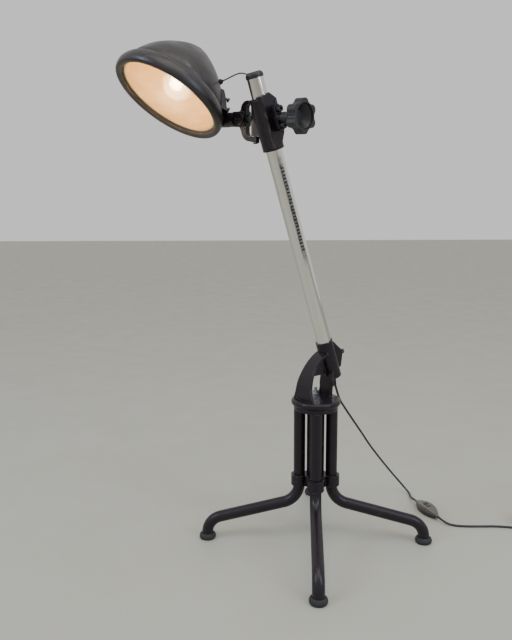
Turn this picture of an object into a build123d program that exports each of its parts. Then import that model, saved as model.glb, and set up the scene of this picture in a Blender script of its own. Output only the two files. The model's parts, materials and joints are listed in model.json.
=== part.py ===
from build123d import *
from math import cos, pi, radians, sin, sqrt, tan
import os

# Floor-standing examination lamp. Millimetres, +Z up, origin on the floor on the axis of the base.
# Four bent tube legs carry a cast yoke; the yoke's sleeve holds a leaning chrome post; a carriage
# slides on the post and carries the bail, and the bail carries the round lamp head.

# ---- stand ----
LEG_RADIUS = 12.5
LEG_WALL = 2.0
LEG_PITCH = 35.0                 # leg tube axis from the base axis, along the upright part
LEG_TOP = 306.0
LEG_INNER_BEND = 46.0
LEG_OUTER_BEND = 39.5            # ends just above the foot pad
LEG_SLOPE = 0.263                # fall of the spread run, per millimetre outwards
LEG_SLOPE_HEIGHT = 98.5          # height of the spread run's line under the upright part
FOOT_REACH = 241.0               # foot axis from the base axis
FOOT_SEAT = 4.0                  # tube end above the floor, inside the foot pad
PAD_HEIGHT = 13.5
PAD_RADIUS = 18.5
COLUMN_RADIUS = 19.0
COLUMN_WALL = 3.0
COLUMN_BOTTOM = 128.0
COLLAR_LOW, COLLAR_HIGH = 133.0, 157.0
COLLAR_LOBE = 18.0
BASE_PLATE_RADIUS = 47.8
FLANGE_RADIUS = 53.2
FLANGE_LOW, FLANGE_HIGH = 316.0, 330.0
BOLT_RADIUS = 4.0
SPOT_FACE = 9.0                  # room cut round each bolt on the flange
LEG_ANGLES = {"left": 180, "front": 270, "right": 0, "rear": 90}
NUT_ANGLES = (90, 180)
SCREW_ANGLES = (0, 270)

# ---- leaning post ----
LEAN = radians(19.05)
LEAN_AZIMUTH = radians(220)
POST_CROSSING = 513.5            # where the post axis meets the base axis
POST_RADIUS = 16.0
POST_WALL = 2.0
POST_BOTTOM, POST_TOP = -146.7, 488.0      # along the post, from the crossing point
SLEEVE_BOTTOM, SLEEVE_TOP = -150.5, -64.2
SLEEVE_RADIUS = 18.5
RUNNING_GAP = 0.05
NOTCH_PITCH, NOTCH_COUNT, NOTCH_FIRST = 7.0, 25, 148.0
NOTCH_TURN = 21.0                # the notch row's place round the post, from the plate's side

# ---- carriage and bracket ----
CARRIAGE_AT = 412.5              # bracket centre along the post
CARRIAGE_RADIUS = 21.0
CARRIAGE_LOW, CARRIAGE_HIGH = -60.5, 38.4
PLATE_FACE = 23.5
PLATE_THICK = 3.5
KNOB_AZIMUTH = radians(-41)
KNOB_DIP = radians(3)
BRACKET_ROLL = radians(3)
PIN_AT = -27.0                   # bail pin axis, along the knob axis from the bracket centre
BARREL_RADIUS = 8.0
BARREL_LOW, BARREL_HIGH = -32.6, 27.4
PIN_RADIUS = 2.5
BAIL_HALF = 5.5
BLOCK_HALF = 14.5
STUB_START, STUB_END = -79.4, -101.0
SPINDLE_RADIUS = 5.0
SCREW_CLEARANCE = 0.35
SHOE_RADIUS = 3.6
SHOE_FRONT, SHOE_BACK = 16.6, 19.6
SHOE_POCKET = 19.3               # the narrow bore that guides the shoe ends here

# ---- lamp head ----
OPENING_CENTRE = (-299.5, -28.4, 947.3)
BEAM = (-0.458, -0.360, -0.813)
OPENING_RADIUS = 103.5
CREASE = 30.5                    # groove between rim and dome, behind the opening
DOME_DEPTH = 98.5
SHEET = 1.6

# ---- mains cord ----
CORD_RADIUS = 2.5
FLOOR_CORD = 2.6                 # height of a cord's axis where it lies on the floor
COIL_CENTRE = (505.0, 95.5)
COIL_RADIUS = 27.5
COIL_TURNS = 5.25
COIL_PITCH = 5.3
LEAD_RADIUS = 1.4

CORD_TO_SWITCH = [
    (43.0, 36.1, 350.9),
    (46.8, 39.2, 336.7),
    (54.6, 56.0, 309.9),
    (68.8, 76.0, 283.9),
    (90.0, 104.0, 246.3),
    (112.2, 134.0, 207.9),
    (135.1, 162.0, 166.6),
    (158.7, 190.0, 129.1),
    (182.8, 216.0, 92.7),
    (204.3, 238.0, 61.1),
    (224.0, 256.0, 34.0),
    (241.0, 264.0, 12.0),
    (252.0, 247.0, 3.0),
    (251.0, 222.0, 4.0),
    (252.2, 202.1, 9.2),
    (258.1, 188.4, 9.5),
]
CORD_TO_COIL = [
    (295.4, 101.8, 9.5),
    (302.0, 88.0, 7.5),
    (318.0, 78.0, 2.7),
    (345.0, 72.5, FLOOR_CORD),
    (385.0, 73.8, FLOOR_CORD),
    (428.0, 76.5, FLOOR_CORD),
    (468.0, 70.0, FLOOR_CORD),
    (505.0, 68.0, FLOOR_CORD),
]
CORD_TO_PLUG = [
    (532.5, 95.5, 30.4),
    (532.5, 116.0, 28.5),
    (535.0, 142.0, 20.0),
    (541.0, 168.0, 13.5),
    (546.0, 190.0, 13.0),
]


def cylinder(radius, low, high):
    """Cylinder on the local Z axis."""
    return Pos(0, 0, (low + high) / 2) * Cylinder(radius, high - low)


def bar(radius, low, high):
    """Cylinder on the local X axis."""
    return Pos((low + high) / 2, 0, 0) * Rot(0, 90, 0) * Cylinder(radius, high - low)


def block(x, y, z):
    """Box from three (low, high) pairs."""
    size = (x[1] - x[0], y[1] - y[0], z[1] - z[0])
    return Pos((x[0] + x[1]) / 2, (y[0] + y[1]) / 2, (z[0] + z[1]) / 2) * Box(*size)


def ring_solid(outline):
    """Solid of revolution from a closed (radius, height) outline."""
    return revolve(Plane.XZ * make_face(outline), Axis.Z)


def hexagon(across_flats, low, high):
    """Hexagonal prism on the local Z axis."""
    prism = extrude(RegularPolygon(across_flats / 2, 6, major_radius=False), high - low)
    return Pos(0, 0, low) * prism


def rounded_route(points, radii):
    """Straight runs through the points, joined by tangent arcs at the inner ones."""
    points = [Vector(*p) for p in points]
    edges = []
    start = points[0]
    for before, corner, after, radius in zip(points, points[1:], points[2:], radii):
        into = (corner - before).normalized()
        away = (after - corner).normalized()
        reach = radius * tan(radians(into.get_angle(away)) / 2)
        arc_start = corner - into * reach
        arc_end = corner + away * reach
        edges.append(Edge.make_line(start, arc_start))
        edges.append(Edge.make_tangent_arc(arc_start, into, arc_end))
        start = arc_end
    edges.append(Edge.make_line(start, points[-1]))
    return Wire(edges)


def cord_radii(points):
    """Largest arcs that the runs on both sides of each corner allow."""
    radii = []
    points = [Vector(*p) for p in points]
    for before, corner, after in zip(points, points[1:], points[2:]):
        into = corner - before
        away = after - corner
        shorter = min(into.length, away.length)
        radii.append(0.45 * shorter / tan(radians(into.get_angle(away)) / 2))
    return radii


def tube_along(route, outer, inner=0.0):
    """Round tube or rod swept along a route."""
    start = Plane(origin=route @ 0, z_dir=route % 0)
    section = Circle(outer) - Circle(inner) if inner else Circle(outer)
    return sweep(start * section, path=route)


def cord_tube(points, radius):
    radii = cord_radii(points)
    route = rounded_route(points, radii)
    solid = tube_along(route, radius)
    drift = solid.volume / (pi * radius**2 * route.length)
    print("cord arcs from %.0f mm, length %.0f mm, volume ratio %.4f" % (min(radii), route.length, drift))
    return solid


def unit(vector):
    return Vector(*vector).normalized()


POST_DIRECTION = Vector(
    sin(LEAN) * cos(LEAN_AZIMUTH),
    sin(LEAN) * sin(LEAN_AZIMUTH),
    cos(LEAN),
)
LEAN_PLANE = Plane(
    origin=(0, 0, 0),
    x_dir=(cos(LEAN_AZIMUTH), sin(LEAN_AZIMUTH), 0),
    z_dir=(sin(LEAN_AZIMUTH), -cos(LEAN_AZIMUTH), 0),
)


def bracket_axes():
    """The knob axis, and the bracket's upright axis, square to it."""
    along = Vector(cos(KNOB_DIP) * cos(KNOB_AZIMUTH), cos(KNOB_DIP) * sin(KNOB_AZIMUTH), -sin(KNOB_DIP))
    upright = (Vector(0, 0, 1) - along * along.Z).normalized()
    side = upright.cross(along)
    return along, upright * cos(BRACKET_ROLL) - side * sin(BRACKET_ROLL)


KNOB_AXIS, BRACKET_UP = bracket_axes()
BRACKET_CENTRE = Vector(0, 0, POST_CROSSING) + POST_DIRECTION * CARRIAGE_AT
PLATE_NORMAL = (KNOB_AXIS - POST_DIRECTION * KNOB_AXIS.dot(POST_DIRECTION)).normalized()
POST = Plane(origin=(0, 0, POST_CROSSING), x_dir=PLATE_NORMAL, z_dir=POST_DIRECTION)
CARRIAGE = Plane(origin=BRACKET_CENTRE, x_dir=PLATE_NORMAL, z_dir=POST_DIRECTION)
BRACKET = Plane(origin=BRACKET_CENTRE, x_dir=KNOB_AXIS, z_dir=BRACKET_UP)
HEAD = Plane(
    origin=OPENING_CENTRE,
    x_dir=KNOB_AXIS - unit(BEAM) * KNOB_AXIS.dot(unit(BEAM)),
    z_dir=unit(BEAM) * -1,
)

# ------------------------------------------------------------------ stand


def leg_tube():
    corner_in = (LEG_PITCH, 0, LEG_SLOPE_HEIGHT)
    corner_out = (FOOT_REACH, 0, LEG_SLOPE_HEIGHT - LEG_SLOPE * (FOOT_REACH - LEG_PITCH))
    points = [(LEG_PITCH, 0, LEG_TOP), corner_in, corner_out, (FOOT_REACH, 0, FOOT_SEAT)]
    route = rounded_route(points, (LEG_INNER_BEND, LEG_OUTER_BEND))
    return tube_along(route, LEG_RADIUS, LEG_RADIUS - LEG_WALL)


def foot_pad():
    """Turned glide with a bulged edge and a socket for the tube."""
    widest = 6.0
    socket = LEG_RADIUS
    outline = [
        Line((0, 0), (16, 0)),
        ThreePointArc((16, 0), (PAD_RADIUS, widest), (15.5, PAD_HEIGHT - 1.5)),
        Line((15.5, PAD_HEIGHT - 1.5), (14, PAD_HEIGHT)),
        Polyline((14, PAD_HEIGHT), (socket, PAD_HEIGHT), (socket, FOOT_SEAT), (0, FOOT_SEAT), (0, 0)),
    ]
    return Pos(FOOT_REACH, 0, 0) * ring_solid(outline)


def leg_plugs():
    """Threaded plugs in the tops of the leg tubes."""
    low = LEG_TOP - 20
    plug = cylinder(LEG_RADIUS - LEG_WALL, low, LEG_TOP) - cylinder(BOLT_RADIUS, low, LEG_TOP)
    return [Rot(0, 0, angle) * Pos(LEG_PITCH, 0, 0) * plug for angle in LEG_ANGLES.values()]


def leg_collar():
    """Clover casting that ties the legs to the centre column."""
    body = cylinder(26, COLLAR_LOW, COLLAR_HIGH)
    for angle in LEG_ANGLES.values():
        body += Rot(0, 0, angle) * Pos(LEG_PITCH, 0, 0) * cylinder(COLLAR_LOBE, COLLAR_LOW, COLLAR_HIGH)
    body -= cylinder(COLUMN_RADIUS, COLLAR_LOW, COLLAR_HIGH)
    for angle in LEG_ANGLES.values():
        body -= Rot(0, 0, angle) * Pos(LEG_PITCH, 0, 0) * cylinder(LEG_RADIUS, COLLAR_LOW, COLLAR_HIGH)
    return body


def centre_column():
    tube = cylinder(COLUMN_RADIUS, COLUMN_BOTTOM, LEG_TOP)
    return tube - cylinder(COLUMN_RADIUS - COLUMN_WALL, COLUMN_BOTTOM, LEG_TOP)


def bolt_holes(low, high):
    hole = Pos(LEG_PITCH, 0, 0) * cylinder(BOLT_RADIUS, low, high)
    return [Rot(0, 0, angle) * hole for angle in LEG_ANGLES.values()]


def base_plate():
    plate = cylinder(BASE_PLATE_RADIUS, LEG_TOP, FLANGE_LOW)
    plate = fillet(plate.edges().filter_by(GeomType.CIRCLE), 2.5)
    for hole in bolt_holes(LEG_TOP, FLANGE_LOW):
        plate -= hole
    return plate


def yoke_flange():
    disc = cylinder(FLANGE_RADIUS, FLANGE_LOW, FLANGE_HIGH)
    disc = fillet(disc.edges().filter_by(GeomType.CIRCLE), 6)
    return disc


def countersink():
    return Pos(0, 0, FLANGE_HIGH - 2) * Cone(BOLT_RADIUS, 2 * BOLT_RADIUS, 4)


def flange_fixing_cuts():
    """Bolt holes, countersinks and the room for a spanner, cut once the arms are on the flange."""
    cuts = bolt_holes(FLANGE_LOW, FLANGE_HIGH)
    spot_face = Pos(LEG_PITCH, 0, 0) * cylinder(SPOT_FACE, FLANGE_HIGH, FLANGE_HIGH + 24)
    for angle in LEG_ANGLES.values():
        cuts.append(Rot(0, 0, angle) * spot_face)
    for angle in SCREW_ANGLES:
        cuts.append(Rot(0, 0, angle) * Pos(LEG_PITCH, 0, 0) * countersink())
    return cuts


def lean_slab(outline, half):
    """Slab in the leaning plane, from a closed (distance, height) outline."""
    return extrude(LEAN_PLANE * make_face(outline), half, both=True)


def taper_cut(outline):
    """Prism along the lean direction, from a closed (sideways, height) outline."""
    face = Plane(
        origin=(0, 0, 0),
        x_dir=LEAN_PLANE.z_dir,
        z_dir=LEAN_PLANE.x_dir * -1,
    ) * make_face(outline)
    return extrude(face, 90, both=True)


def front_arch():
    """Curved band that rises from the flange's front edge to the sleeve."""
    arch_radius, thick, centre_x, spring = 91.2, 5.0, -54.2, 345.0
    far = radians(68)
    outer = [(centre_x + arch_radius * cos(a), spring + arch_radius * sin(a)) for a in (0, far / 2, far)]
    inner_radius = arch_radius - thick
    inner = [(centre_x + inner_radius * cos(a), spring + inner_radius * sin(a)) for a in (far, far / 2, 0)]
    foot = FLANGE_HIGH - 6
    side = [
        Line((outer[0][0], foot), outer[0]),
        ThreePointArc(*outer),
        Line(outer[2], inner[0]),
        ThreePointArc(*inner),
        Line(inner[2], (inner[2][0], foot)),
        Line((inner[2][0], foot), (outer[0][0], foot)),
    ]
    widths = [(31.5, foot), (30.5, 331), (25, 347), (22.3, 364), (19, 384), (16.8, 404), (16.8, 440)]
    right = Spline(*widths)
    left = Spline(*[(-w, h) for w, h in reversed(widths)])
    front = [right, Line(widths[-1], (-widths[-1][0], widths[-1][1])), left, Line((-31.5, foot), (31.5, foot))]
    return lean_slab(side, 36) & taper_cut(front)


def rear_arm():
    """Upright plate behind the window, up to the sleeve's lower wall."""
    foot, top = FLANGE_HIGH - 6, 392.0
    face, back = -27.0, -32.5
    side = Polyline((face, foot), (back, foot), (back - 3, top), (face - 3, top), close=True)
    widths = [(29, foot), (27, 333), (22, 346), (20, 361), (18, 376), (16.5, top)]
    right = Spline(*widths)
    left = Spline(*[(-w, h) for w, h in reversed(widths)])
    front = [right, Line((16.5, top), (-16.5, top)), left, Line((-29, foot), (29, foot))]
    return lean_slab(side, 36) & taper_cut(front)


def yoke_web():
    """Flat web between the arch and the sleeve."""
    outline = Polyline((12, 380), (-22, 380), (-40, 392), (-34, 418), (-4, 416), (14, 398), close=True)
    return lean_slab(outline, 4)


def set_bolt_lug():
    """Triangular rib outboard of the sleeve, with a tapped tip."""
    outline = Polyline((-40, 448), (-43.5, 449.6), (-69.4, 427), (-71, 420), (-67, 392), (-58, 388), close=True)
    return lean_slab(outline, 6.5)


def sleeve_bore():
    return cylinder(POST_RADIUS + RUNNING_GAP, SLEEVE_BOTTOM + 3.5, SLEEVE_TOP) + cylinder(
        12, SLEEVE_BOTTOM, SLEEVE_BOTTOM + 3.5
    )


SET_BOLT = Plane(
    origin=LEAN_PLANE.from_local_coords((-71.5, 423, 0)),
    x_dir=LEAN_PLANE.z_dir,
    z_dir=LEAN_PLANE.x_dir * -1,
)


def yoke_casting():
    sleeve = POST * cylinder(SLEEVE_RADIUS, SLEEVE_BOTTOM, SLEEVE_TOP)
    body = yoke_flange() + front_arch() + rear_arm() + yoke_web() + set_bolt_lug() + sleeve
    for cut in flange_fixing_cuts():
        body -= cut
    body -= POST * sleeve_bore()
    body -= POST * cylinder(POST_RADIUS + RUNNING_GAP, SLEEVE_TOP - 0.1, SLEEVE_TOP + 40)
    body -= SET_BOLT * cylinder(3, -30, 6)
    return body


def sleeve_set_bolt():
    head = hexagon(10, 0, 6)
    return SET_BOLT * (head + cylinder(3, -7.8, 0))


def yoke_bolts():
    """Hexagon bolts with washers, on the rear and the left leg."""
    bolt = cylinder(BOLT_RADIUS, LEG_TOP - 14, FLANGE_HIGH + 15)
    washer = cylinder(8, FLANGE_HIGH, FLANGE_HIGH + 1.6)
    nut = hexagon(13, FLANGE_HIGH + 1.6, FLANGE_HIGH + 9)
    return [Rot(0, 0, a) * Pos(LEG_PITCH, 0, 0) * (bolt + washer + nut) for a in NUT_ANGLES]


def yoke_screws():
    """Countersunk screws on the front and the right leg."""
    screw = cylinder(BOLT_RADIUS, LEG_TOP - 14, FLANGE_HIGH - 3) + countersink()
    screw -= block((-6, 6), (-0.8, 0.8), (FLANGE_HIGH - 1.5, FLANGE_HIGH))
    return [Rot(0, 0, a) * Pos(LEG_PITCH, 0, 0) * screw for a in SCREW_ANGLES]


# ------------------------------------------------------------------ post


def post_tube():
    tube = cylinder(POST_RADIUS, POST_BOTTOM, POST_TOP)
    tube -= cylinder(POST_RADIUS - POST_WALL, POST_BOTTOM, POST_TOP)
    for index in range(NOTCH_COUNT):
        height = NOTCH_FIRST + NOTCH_PITCH * index
        notch = Pos(POST_RADIUS - 0.2, 0, height) * Box(1.6, 6.5, 3.0)
        tube -= Rot(0, 0, -NOTCH_TURN) * notch
    return POST * tube


def post_cap():
    """Domed cap with a spigot inside the tube."""
    low, top, edge = POST_TOP - 1.5, POST_TOP + 9.5, POST_RADIUS + 0.9
    bore = POST_RADIUS
    outline = [
        Polyline((0, top), (edge - 8, top)),
        ThreePointArc((edge - 8, top), (edge - 2, top - 2.2), (edge, top - 7)),
        Polyline(
            (edge, top - 7),
            (edge, low),
            (bore, low),
            (bore, POST_TOP),
            (POST_RADIUS - POST_WALL, POST_TOP),
            (POST_RADIUS - POST_WALL, POST_TOP - 12),
            (0, POST_TOP - 12),
            (0, top),
        ),
    ]
    body = ring_solid(outline)
    return POST * body - LEAD_EXIT * cylinder(2.4, -9, 4)


def cap_grommet():
    ring = cylinder(2.4, -3, 0) + cylinder(3.6, 0, 1.2)
    return LEAD_EXIT * (ring - cylinder(LEAD_RADIUS, -3, 1.2))


EXIT_RISE = radians(35)
CAP_SHOULDER = POST.from_local_coords((-15.6, 0, POST_TOP + 6.3))
LEAD_EXIT = Plane(
    origin=CAP_SHOULDER,
    z_dir=PLATE_NORMAL * -cos(EXIT_RISE) + POST_DIRECTION * sin(EXIT_RISE),
)

# ------------------------------------------------------------------ carriage


def hinge_relief(low, high):
    """Room round the pin for the end of a bail arm."""
    return Pos(PIN_AT, 0, 0) * cylinder(9.4, low, high)


def carriage_casting():
    bore = cylinder(POST_RADIUS + RUNNING_GAP, CARRIAGE_LOW - 30, CARRIAGE_HIGH + 30)
    body = cylinder(CARRIAGE_RADIUS, CARRIAGE_LOW, CARRIAGE_HIGH)
    body += cylinder(CARRIAGE_RADIUS + 1.8, CARRIAGE_HIGH - 3.5, CARRIAGE_HIGH)
    body += plate_outline(7, PLATE_FACE - PLATE_THICK)
    body -= block((PLATE_FACE - PLATE_THICK, 40), (-40, 40), (-80, 60))
    barrel = Pos(PIN_AT, 0, 0) * cylinder(BARREL_RADIUS, BARREL_LOW, BARREL_HIGH)
    barrel += block((PIN_AT, -6), (-BARREL_RADIUS, BARREL_RADIUS), (BARREL_LOW, BARREL_HIGH))
    body = CARRIAGE * body - BRACKET * hinge_relief(BARREL_HIGH, 36.6)
    body -= BRACKET * hinge_relief(-49, BARREL_LOW)
    body += BRACKET * barrel
    body -= CARRIAGE * bore
    body -= BRACKET * (Pos(PIN_AT, 0, 0) * cylinder(PIN_RADIUS + RUNNING_GAP, BARREL_HIGH - 12, BARREL_HIGH))
    body -= BRACKET * (Pos(PIN_AT, 0, 0) * cylinder(PIN_RADIUS + RUNNING_GAP, BARREL_LOW, BARREL_LOW + 12))
    body -= BRACKET * bar(SPINDLE_RADIUS + SCREW_CLEARANCE, SHOE_POCKET, 40)
    body -= BRACKET * bar(SHOE_RADIUS + RUNNING_GAP, 0, SHOE_POCKET)
    for y, z in PLATE_SCREWS:
        body -= CARRIAGE * (Pos(0, y, z) * bar(1.6, 14, 30))
    for z in BRIDGE_SCREWS:
        body -= CARRIAGE * (Pos(0, 0, z) * bar(3.0, PLATE_FACE - PLATE_THICK - 2.5, 30))
    return body


PLATE_SCREWS = [(12.3, 24.0), (12.3, -29.5)]
BRIDGE_SCREWS = [12.0, -19.0]


def plate_outline(low, high):
    """Plate with two cut corners, standing off the post by low to high."""
    corners = Polyline((-19, -55), (3, -52), (17.5, -32), (17.5, 30), (2, 44), (-19, 41), close=True)
    face = Plane.YZ * make_face(corners)
    return Pos(low, 0, 0) * extrude(face, high - low)


def carriage_plate():
    body = CARRIAGE * plate_outline(PLATE_FACE - PLATE_THICK, PLATE_FACE)
    body -= BRACKET * bar(SPINDLE_RADIUS + SCREW_CLEARANCE, 10, 40)
    for y, z in PLATE_SCREWS:
        body -= CARRIAGE * (Pos(0, y, z) * bar(1.6, 14, 30))
    for z in BRIDGE_SCREWS:
        body -= CARRIAGE * (Pos(0, 0, z) * bar(3.0, 14, 30))
    return body


def plate_screws():
    screw = bar(1.6, PLATE_FACE - 8.5, PLATE_FACE) + bar(2.9, PLATE_FACE, PLATE_FACE + 1.4)
    return [CARRIAGE * (Pos(0, y, z) * screw) for y, z in PLATE_SCREWS]


def knob_bridge():
    """Bar across the plate with a boss that the knob's spindle screws through."""
    middle = (BRIDGE_SCREWS[0] + BRIDGE_SCREWS[1]) / 2
    bridge = block((PLATE_FACE, 37), (-8, 8), (middle - 24, middle + 24))
    bridge = fillet(bridge.edges().filter_by(Axis.X), 6)
    body = CARRIAGE * bridge + BRACKET * bar(8.5, 30, 46)
    body -= BRACKET * bar(SPINDLE_RADIUS + SCREW_CLEARANCE, 10, 60)
    for z in BRIDGE_SCREWS:
        body -= CARRIAGE * (Pos(0, 0, z) * bar(3.0, 14, 45))
    return body


def bridge_screws():
    """Socket-head cap screws."""
    head = bar(6.0, 37, 45) - Plane(origin=(41.5, 0, 0), z_dir=(1, 0, 0)) * hexagon(5, 0, 4)
    screw = head + bar(3.0, 17.8, 37)
    return [CARRIAGE * (Pos(0, 0, z) * screw) for z in BRIDGE_SCREWS]


def pressure_shoe():
    """Pad that the spindle presses on the post."""
    return BRACKET * bar(SHOE_RADIUS, SHOE_FRONT, SHOE_BACK)


def knob_spindle():
    return BRACKET * bar(SPINDLE_RADIUS, SHOE_BACK, 80)


def star_knob():
    """Six-lobed hand knob with a deep coned recess and a necked hub."""
    hub_start, neck, flare, back, face = 46.6, 9.6, 62.0, 79.0, 98.0
    reach, lobe = 22.5, 9.3
    star = bar(26.5, back, face)
    for index in range(6):
        star += Rot(index * 60, 0, 0) * Pos(0, 0, reach) * bar(lobe, back, face)
    for index in range(6):
        star -= Rot(30 + index * 60, 0, 0) * Pos(0, 0, 34.0) * bar(8.5, back - 1, face + 1)
    collar = Plane.XZ * make_face(
        Polyline((hub_start, 0), (hub_start, neck), (flare, neck), (back + 4, 24), (back + 4, 0), close=True)
    )
    body = star + revolve(collar, Axis.X)
    recess = Plane.XZ * make_face(
        Polyline((face + 1, 0), (face + 1, 23.5), (face - 4, 22), (face - 16, 11), (face - 16, 0), close=True)
    )
    body -= revolve(recess, Axis.X)
    body -= bar(SPINDLE_RADIUS, 30, 80.0)
    return BRACKET * body


# ------------------------------------------------------------------ bail


def bail():
    """C-shaped plate whose arms hold the carriage's barrel, with a thick middle for the head's pivot."""
    half = BAIL_HALF
    outer = [
        Line((PIN_AT + 8, 28.0), (PIN_AT + 8, 33.6)),
        Line((PIN_AT + 8, 33.6), (-44, 33.6)),
        ThreePointArc((-44, 33.6), (-56, 28.5), (-61, 17)),
        Line((-61, 17), (-66, BLOCK_HALF)),
        Line((-66, BLOCK_HALF), (-79, BLOCK_HALF)),
        Line((-79, BLOCK_HALF), (-79, -BLOCK_HALF)),
        Line((-79, -BLOCK_HALF), (-66, -BLOCK_HALF)),
        Line((-66, -BLOCK_HALF), (-61, -22)),
        ThreePointArc((-61, -22), (-55, -35), (-42, -42)),
        Line((-42, -42), (PIN_AT + 8, -45.8)),
        Line((PIN_AT + 8, -45.8), (PIN_AT + 8, -33.2)),
        Line((PIN_AT + 8, -33.2), (-40, -33.2)),
        ThreePointArc((-40, -33.2), (-45, -30.5), (-47.5, -24)),
        Line((-47.5, -24), (-47.5, 20)),
        ThreePointArc((-47.5, 20), (-45, 26), (-39, 28)),
        Line((-39, 28), (PIN_AT + 8, 28.0)),
    ]
    plate = extrude(Plane.XZ * make_face(outer), half, both=True)
    thick = block((-79, -49), (-10.5, 10.5), (-BLOCK_HALF, BLOCK_HALF))
    thick = fillet(thick.edges().filter_by(Axis.X), 4)
    body = plate + thick
    ends = Pos(PIN_AT, 0, 0) * cylinder(8.0, -60, 60) + block((-90, PIN_AT), (-20, 20), (-60, 60))
    body = body & ends
    body -= Pos(PIN_AT, 0, 0) * cylinder(PIN_RADIUS, -60, 60)
    body -= bar(PIVOT_RADIUS + RUNNING_GAP, -100, -40)
    return BRACKET * body


PIVOT_RADIUS = 4.0


def bail_pins():
    """Shoulder screws, fixed in the arms and turning in the barrel."""
    upper = cylinder(PIN_RADIUS, BARREL_HIGH - 11, 33.6) + cylinder(4.5, 33.6, 35.4)
    lower = cylinder(PIN_RADIUS, -45.0, BARREL_LOW + 11) + cylinder(4.5, -47.4, -45.0)
    upper = Pos(PIN_AT, 0, 0) * upper
    lower = Pos(PIN_AT, 0, 0) * lower
    return [BRACKET * upper, BRACKET * lower - bail()]


def tilt_pad():
    """Round slotted cover on the front of the bail's pivot block."""
    disc = Pos(-59, -10.5, 0) * Rot(90, 0, 0) * cylinder(10.5, 0, 2.5)
    disc -= block((-68, -50), (-13.2, -12.2), (-0.8, 0.8))
    return BRACKET * disc


# ------------------------------------------------------------------ lamp head


def dome_point(share, sheet=0.0):
    """Point of the dome's outline; share runs from 0 at the crease to 1 at the top."""
    radius = (OPENING_RADIUS - sheet) * (1 - share**1.49) ** (1 / 1.33)
    return radius, CREASE + (DOME_DEPTH - sheet) * share


def dome_outline(sheet=0.0):
    shares = (0.0, 0.15, 0.3, 0.45, 0.6, 0.75, 0.88, 0.96)
    points = [dome_point(s, sheet) for s in shares] + [(0.0, CREASE + DOME_DEPTH - sheet)]
    return Spline(*points, tangents=((0, 1), (-1, 0)))


RIM_POINTS = [
    (103.5, 0.5),
    (108.8, -3.6),
    (114.9, -2.8),
    (118.2, 4.5),
    (116.8, 15.0),
    (111.5, 24.5),
    (104.5, 30.5),
]
RIM_MIDDLE = (107.5, 11.0)


def shade_shell():
    """Spun dome with a short skirt and a flange inside the rim."""
    skirt, flange = OPENING_RADIUS, 110.0
    outline = [
        dome_outline(),
        Line((0, CREASE + DOME_DEPTH), (0, CREASE + DOME_DEPTH - SHEET)),
        dome_outline(SHEET),
        Polyline(
            (skirt - SHEET, CREASE),
            (skirt - SHEET, 7.4),
            (flange, 7.4),
            (flange, 9.0),
            (skirt, 9.0),
            (skirt, CREASE),
        ),
    ]
    body = HEAD * ring_solid(outline)
    body -= GLAND * cylinder(GLAND_RADIUS, -8, 4)
    for hole in bracket_bolt_holes():
        body -= hole
    return body


def rim_bezel():
    """Rolled rim that clips over the flange."""
    inner = []
    for radius, height in RIM_POINTS:
        toward = unit((RIM_MIDDLE[0] - radius, RIM_MIDDLE[1] - height, 0))
        inner.append((radius + SHEET * toward.X, height + SHEET * toward.Y))
    outline = [
        Spline(*RIM_POINTS),
        Line(RIM_POINTS[-1], inner[-1]),
        Spline(*reversed(inner)),
        Line(inner[0], RIM_POINTS[0]),
    ]
    return HEAD * ring_solid(outline)


GLASS_RADIUS = 105.0


def glass_gasket():
    ring = cylinder(107.2, 2.2, 7.4) - cylinder(102.6, 2.2, 7.4)
    return HEAD * (ring - cylinder(GLASS_RADIUS, 3.2, 6.2))


def front_glass():
    return HEAD * cylinder(GLASS_RADIUS, 3.2, 6.2)


def reflector():
    """Bowl behind the glass, open at the back for the lamp holder."""
    front, back, depth = 9.2, 104.0, 115.0

    def wall(height, offset):
        return (100.0 * sqrt((front + depth - height) / depth) - offset, height)

    heights = [front + (back - front) * step / 6 for step in range(7)]
    outer = [wall(h, 0.0) for h in heights]
    inner = [wall(h, 1.2) for h in heights]
    outline = [
        Spline(*outer),
        Line(outer[-1], inner[-1]),
        Spline(*reversed(inner)),
        Polyline(inner[0], (inner[0][0], 7.9), (101.6, 7.9), (101.6, front), outer[0]),
    ]
    return HEAD * ring_solid(outline)


def lamp_holder():
    body = cylinder(19, 94, 116) + cylinder(5, 116, 125.6)
    return HEAD * (body - cylinder(13.2, 94, 112))


def bulb_cap():
    return HEAD * cylinder(13.2, 86, 112)


def bulb_glass():
    outline = [
        Line((0, 18), (0, 86)),
        Line((0, 86), (13, 86)),
        Spline((13, 86), (17, 72), (26.5, 57), (29.5, 44), (24, 27), (0, 18), tangents=((0.1, -1), (-1, 0))),
    ]
    return HEAD * ring_solid(outline)


def side_plane(height, radius, turn):
    """Plane on the shade's side, x outwards from the beam axis and z towards the back."""
    return HEAD * Rot(0, 0, turn) * Pos(radius, 0, height)


STUB_TIP = BRACKET.from_local_coords((STUB_END - 16, 0, 0))
STUB_TIP_IN_HEAD = HEAD.to_local_coords(STUB_TIP)
BRACKET_TURN = Vector(1, 0, 0).get_signed_angle(
    Vector(STUB_TIP_IN_HEAD.X, STUB_TIP_IN_HEAD.Y, 0), Vector(0, 0, 1)
)
GLAND_RADIUS = 3.0
LEAD_FIRST_JOIN = Vector(-151.5, -74.0, 987.2)
LEAD_MIDDLE = Vector(-160.0, -61.5, 988.0)
LEAD_SECOND_JOIN = Vector(-168.0, -50.0, 986.6)
LEAD_TARGET = Vector(-191.3, -24.8, 978.4)
LEAD_TARGET_IN_HEAD = HEAD.to_local_coords(LEAD_TARGET)
GLAND_TURN = Vector(1, 0, 0).get_signed_angle(
    Vector(LEAD_TARGET_IN_HEAD.X, LEAD_TARGET_IN_HEAD.Y, 0), Vector(0, 0, 1)
)


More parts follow.
